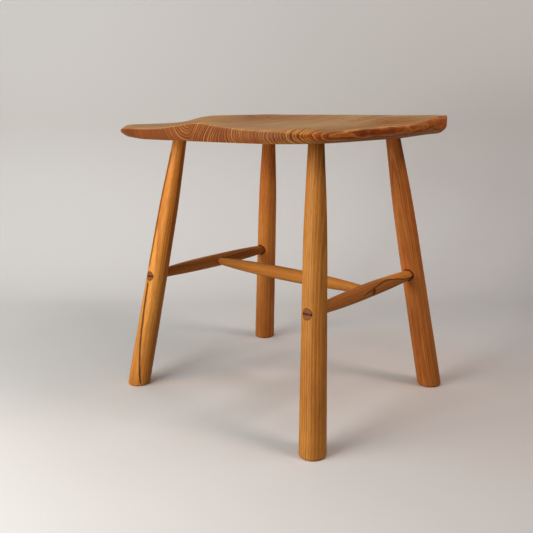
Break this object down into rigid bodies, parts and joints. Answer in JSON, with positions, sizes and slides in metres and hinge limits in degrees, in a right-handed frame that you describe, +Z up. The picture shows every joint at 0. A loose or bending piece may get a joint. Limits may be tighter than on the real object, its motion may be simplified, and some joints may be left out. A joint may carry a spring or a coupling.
{
  "type": "stool",
  "caption": "Low wooden saddle stool: carved dished seat with a front pommel on splayed round legs joined by an H stretcher, all held by wedged through tenons",
  "frame": {"origin": "centre of the bounding box at floor level", "axes": "+Z up, -Y towards the front of the seat where the pommel is, +X across the seat; mirror plane X = 0"},
  "size_m": [0.4282, 0.391, 0.4497],
  "materials": {
    "seat_board_left": "satin",
    "seat_board_right": "satin",
    "leg_front_left": "satin",
    "leg_front_right": "satin",
    "leg_rear_left": "satin",
    "leg_rear_right": "satin",
    "side_stretcher_left": "satin",
    "side_stretcher_right": "satin",
    "centre_stretcher": "satin",
    "wedge_seat_front_left": "satin",
    "wedge_seat_front_right": "satin",
    "wedge_seat_rear_left": "satin",
    "wedge_seat_rear_right": "satin",
    "wedge_stretcher_front_left": "satin",
    "wedge_stretcher_rear_left": "satin",
    "wedge_stretcher_front_right": "satin",
    "wedge_stretcher_rear_right": "satin",
    "wedge_centre_left": "satin",
    "wedge_centre_right": "satin"
  },
  "bodies": {
    "root": {"seat_board_left": "seat_board_left", "seat_board_right": "seat_board_right", "leg_front_left": "leg_front_left", "leg_front_right": "leg_front_right", "leg_rear_left": "leg_rear_left", "leg_rear_right": "leg_rear_right", "side_stretcher_left": "side_stretcher_left", "side_stretcher_right": "side_stretcher_right", "centre_stretcher": "centre_stretcher", "wedge_seat_front_left": "wedge_seat_front_left", "wedge_seat_front_right": "wedge_seat_front_right", "wedge_seat_rear_left": "wedge_seat_rear_left", "wedge_seat_rear_right": "wedge_seat_rear_right", "wedge_stretcher_front_left": "wedge_stretcher_front_left", "wedge_stretcher_rear_left": "wedge_stretcher_rear_left", "wedge_stretcher_front_right": "wedge_stretcher_front_right", "wedge_stretcher_rear_right": "wedge_stretcher_rear_right", "wedge_centre_left": "wedge_centre_left", "wedge_centre_right": "wedge_centre_right"}
  },
  "joints": []
}
